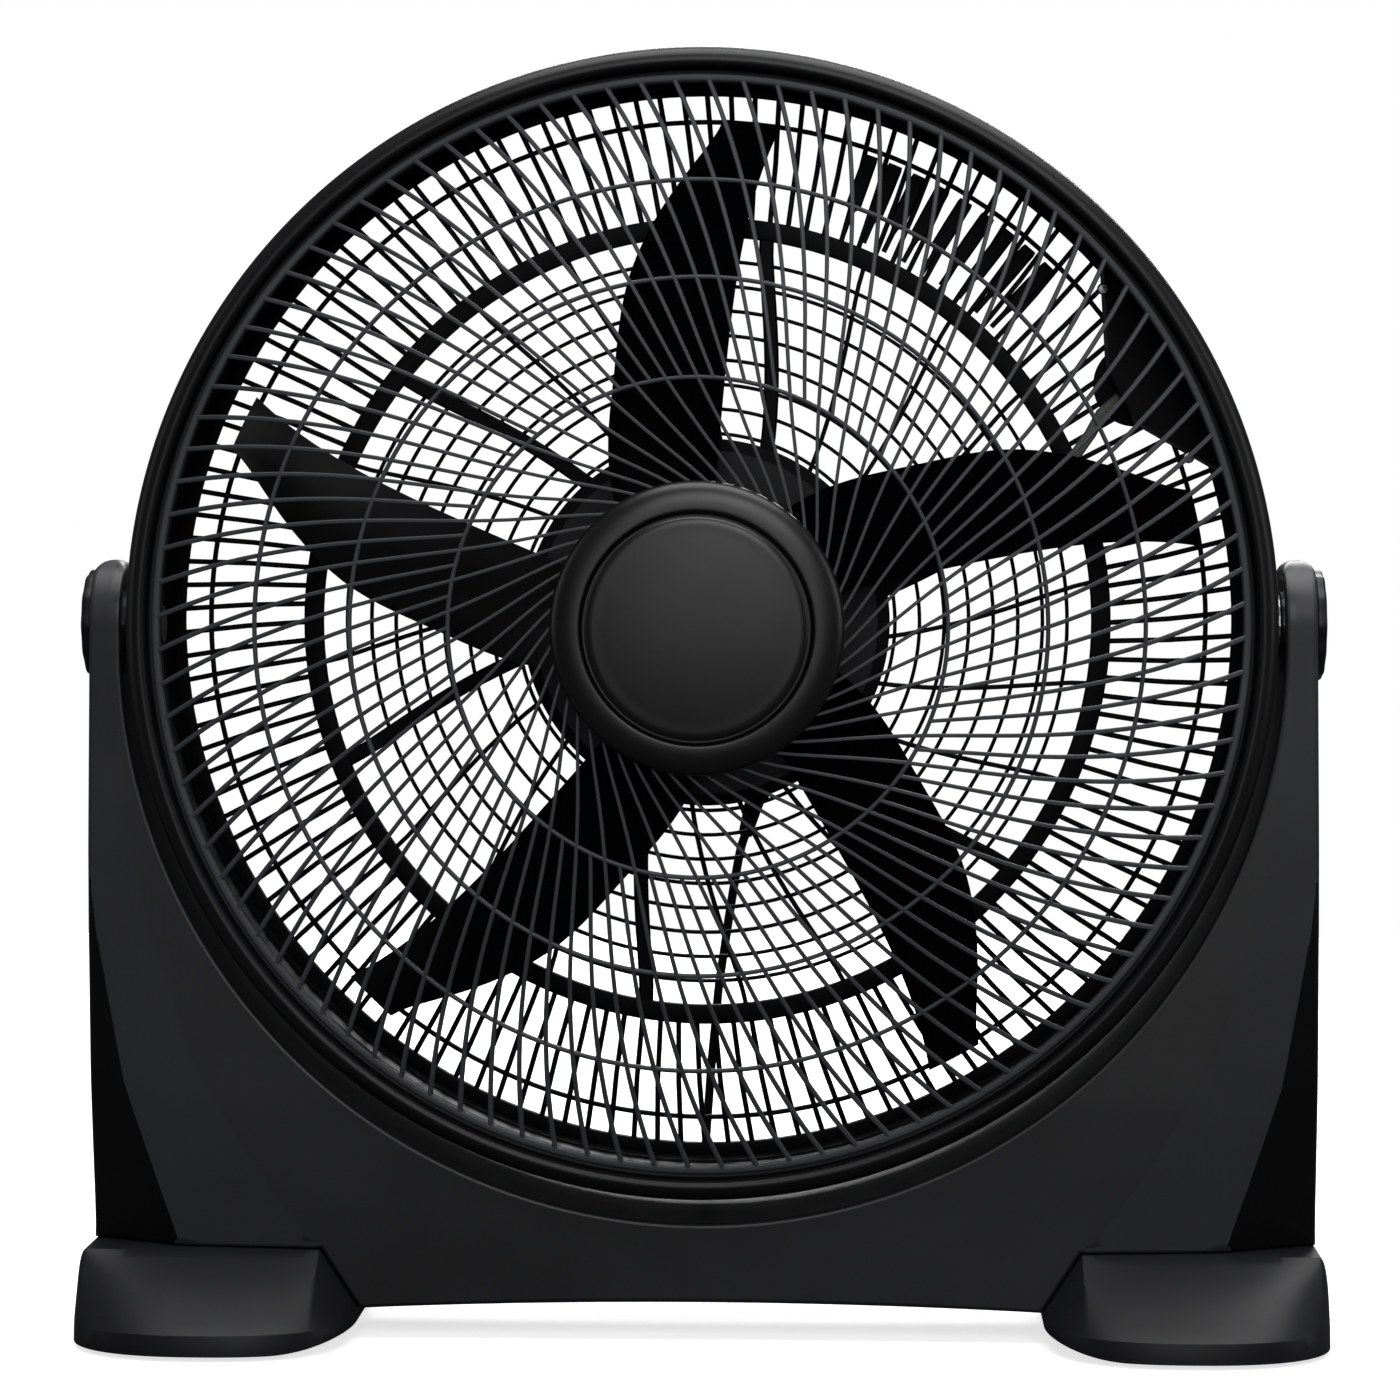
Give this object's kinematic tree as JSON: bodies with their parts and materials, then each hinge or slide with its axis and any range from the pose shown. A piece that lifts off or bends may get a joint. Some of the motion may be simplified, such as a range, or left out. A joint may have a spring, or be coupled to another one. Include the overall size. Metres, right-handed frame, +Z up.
{
  "type": "floor fan",
  "caption": "Round drum floor fan: a tilting head with front and rear guards and a swept-blade impeller, held between the arms of a U-shaped base with two long feet",
  "frame": {"origin": "on the floor, under the crossing of the tilt axis and the fan axis, at the middle of the base", "axes": "+X to the viewer's right when facing the front, +Y to the back, +Z up; the front guard faces -Y"},
  "size_m": [0.6126, 0.3329, 0.63],
  "materials": {
    "charcoal_shell": "satin moulded ABS",
    "graphite_guard": "fine satin",
    "black_guard": "satin",
    "cap_plastic": "soft gloss",
    "blade_plastic": "soft gloss",
    "motor_paint": "black paint",
    "steel": "zinc plated",
    "laminations": "bare laminations",
    "rubber": "matte",
    "cord_jacket": "smooth PVC",
    "sleeve": "woven grey sleeve",
    "switch_plastic": "grey moulding",
    "knob_plastic": "satin"
  },
  "bodies": {
    "base": {"base_front_shell": "charcoal_shell", "base_rear_shell": "charcoal_shell", "foot_left": "charcoal_shell", "foot_right": "charcoal_shell", "foot_pad_left_front": "rubber", "foot_pad_left_rear": "rubber", "foot_pad_right_front": "rubber", "foot_pad_right_rear": "rubber", "base_screw_1": "steel", "base_screw_2": "steel", "base_screw_3": "steel", "base_screw_4": "steel", "cord": "cord_jacket", "cord_coil": "cord_jacket", "cord_tail": "cord_jacket", "plug": "cord_jacket"},
    "head": {"drum_housing": "charcoal_shell", "front_guard": "graphite_guard", "guard_cap": "cap_plastic", "cap_disc": "cap_plastic", "rear_guard": "black_guard", "motor_front_bell": "motor_paint", "motor_cover": "black_guard", "stator": "laminations", "front_bearing": "steel", "rear_bearing": "steel", "switch_box": "black_guard", "switch_box_screw_1": "steel", "switch_box_screw_2": "steel", "speed_switch": "switch_plastic", "motor_lead": "sleeve", "cord_gland": "rubber", "pivot_washer_left": "steel", "pivot_washer_right": "steel", "pivot_bolt_left": "steel", "pivot_bolt_right": "steel"},
    "rotor": {"impeller": "blade_plastic", "impeller_nut": "blade_plastic", "motor_shaft": "steel", "rotor_core": "laminations"},
    "speed_control": {"speed_knob": "knob_plastic"},
    "left_lock": {"tilt_knob_left": "knob_plastic"},
    "right_lock": {"tilt_knob_right": "knob_plastic"}
  },
  "joints": [
    {"name": "head_tilt", "type": "hinge", "parent": "base", "child": "head", "pos_m": [0, 0, 0.35], "axis": [-1, 0, 0], "range_deg": [-10, 45]},
    {"name": "rotor_spin", "type": "hinge", "parent": "head", "child": "rotor", "pos_m": [0, 0, 0.35], "axis": [0, 1, 0], "continuous": true},
    {"name": "speed_turn", "type": "hinge", "parent": "head", "child": "speed_control", "pos_m": [0.21603, 0.058, 0.46975], "axis": [0, 1, 0], "range_deg": [0, 135]},
    {"name": "left_lock_turn", "type": "hinge", "parent": "base", "child": "left_lock", "pos_m": [-0.304, 0, 0.35], "axis": [-1, 0, 0], "range_deg": [-360, 0]},
    {"name": "right_lock_turn", "type": "hinge", "parent": "base", "child": "right_lock", "pos_m": [0.304, 0, 0.35], "axis": [1, 0, 0], "range_deg": [-360, 0]}
  ]
}
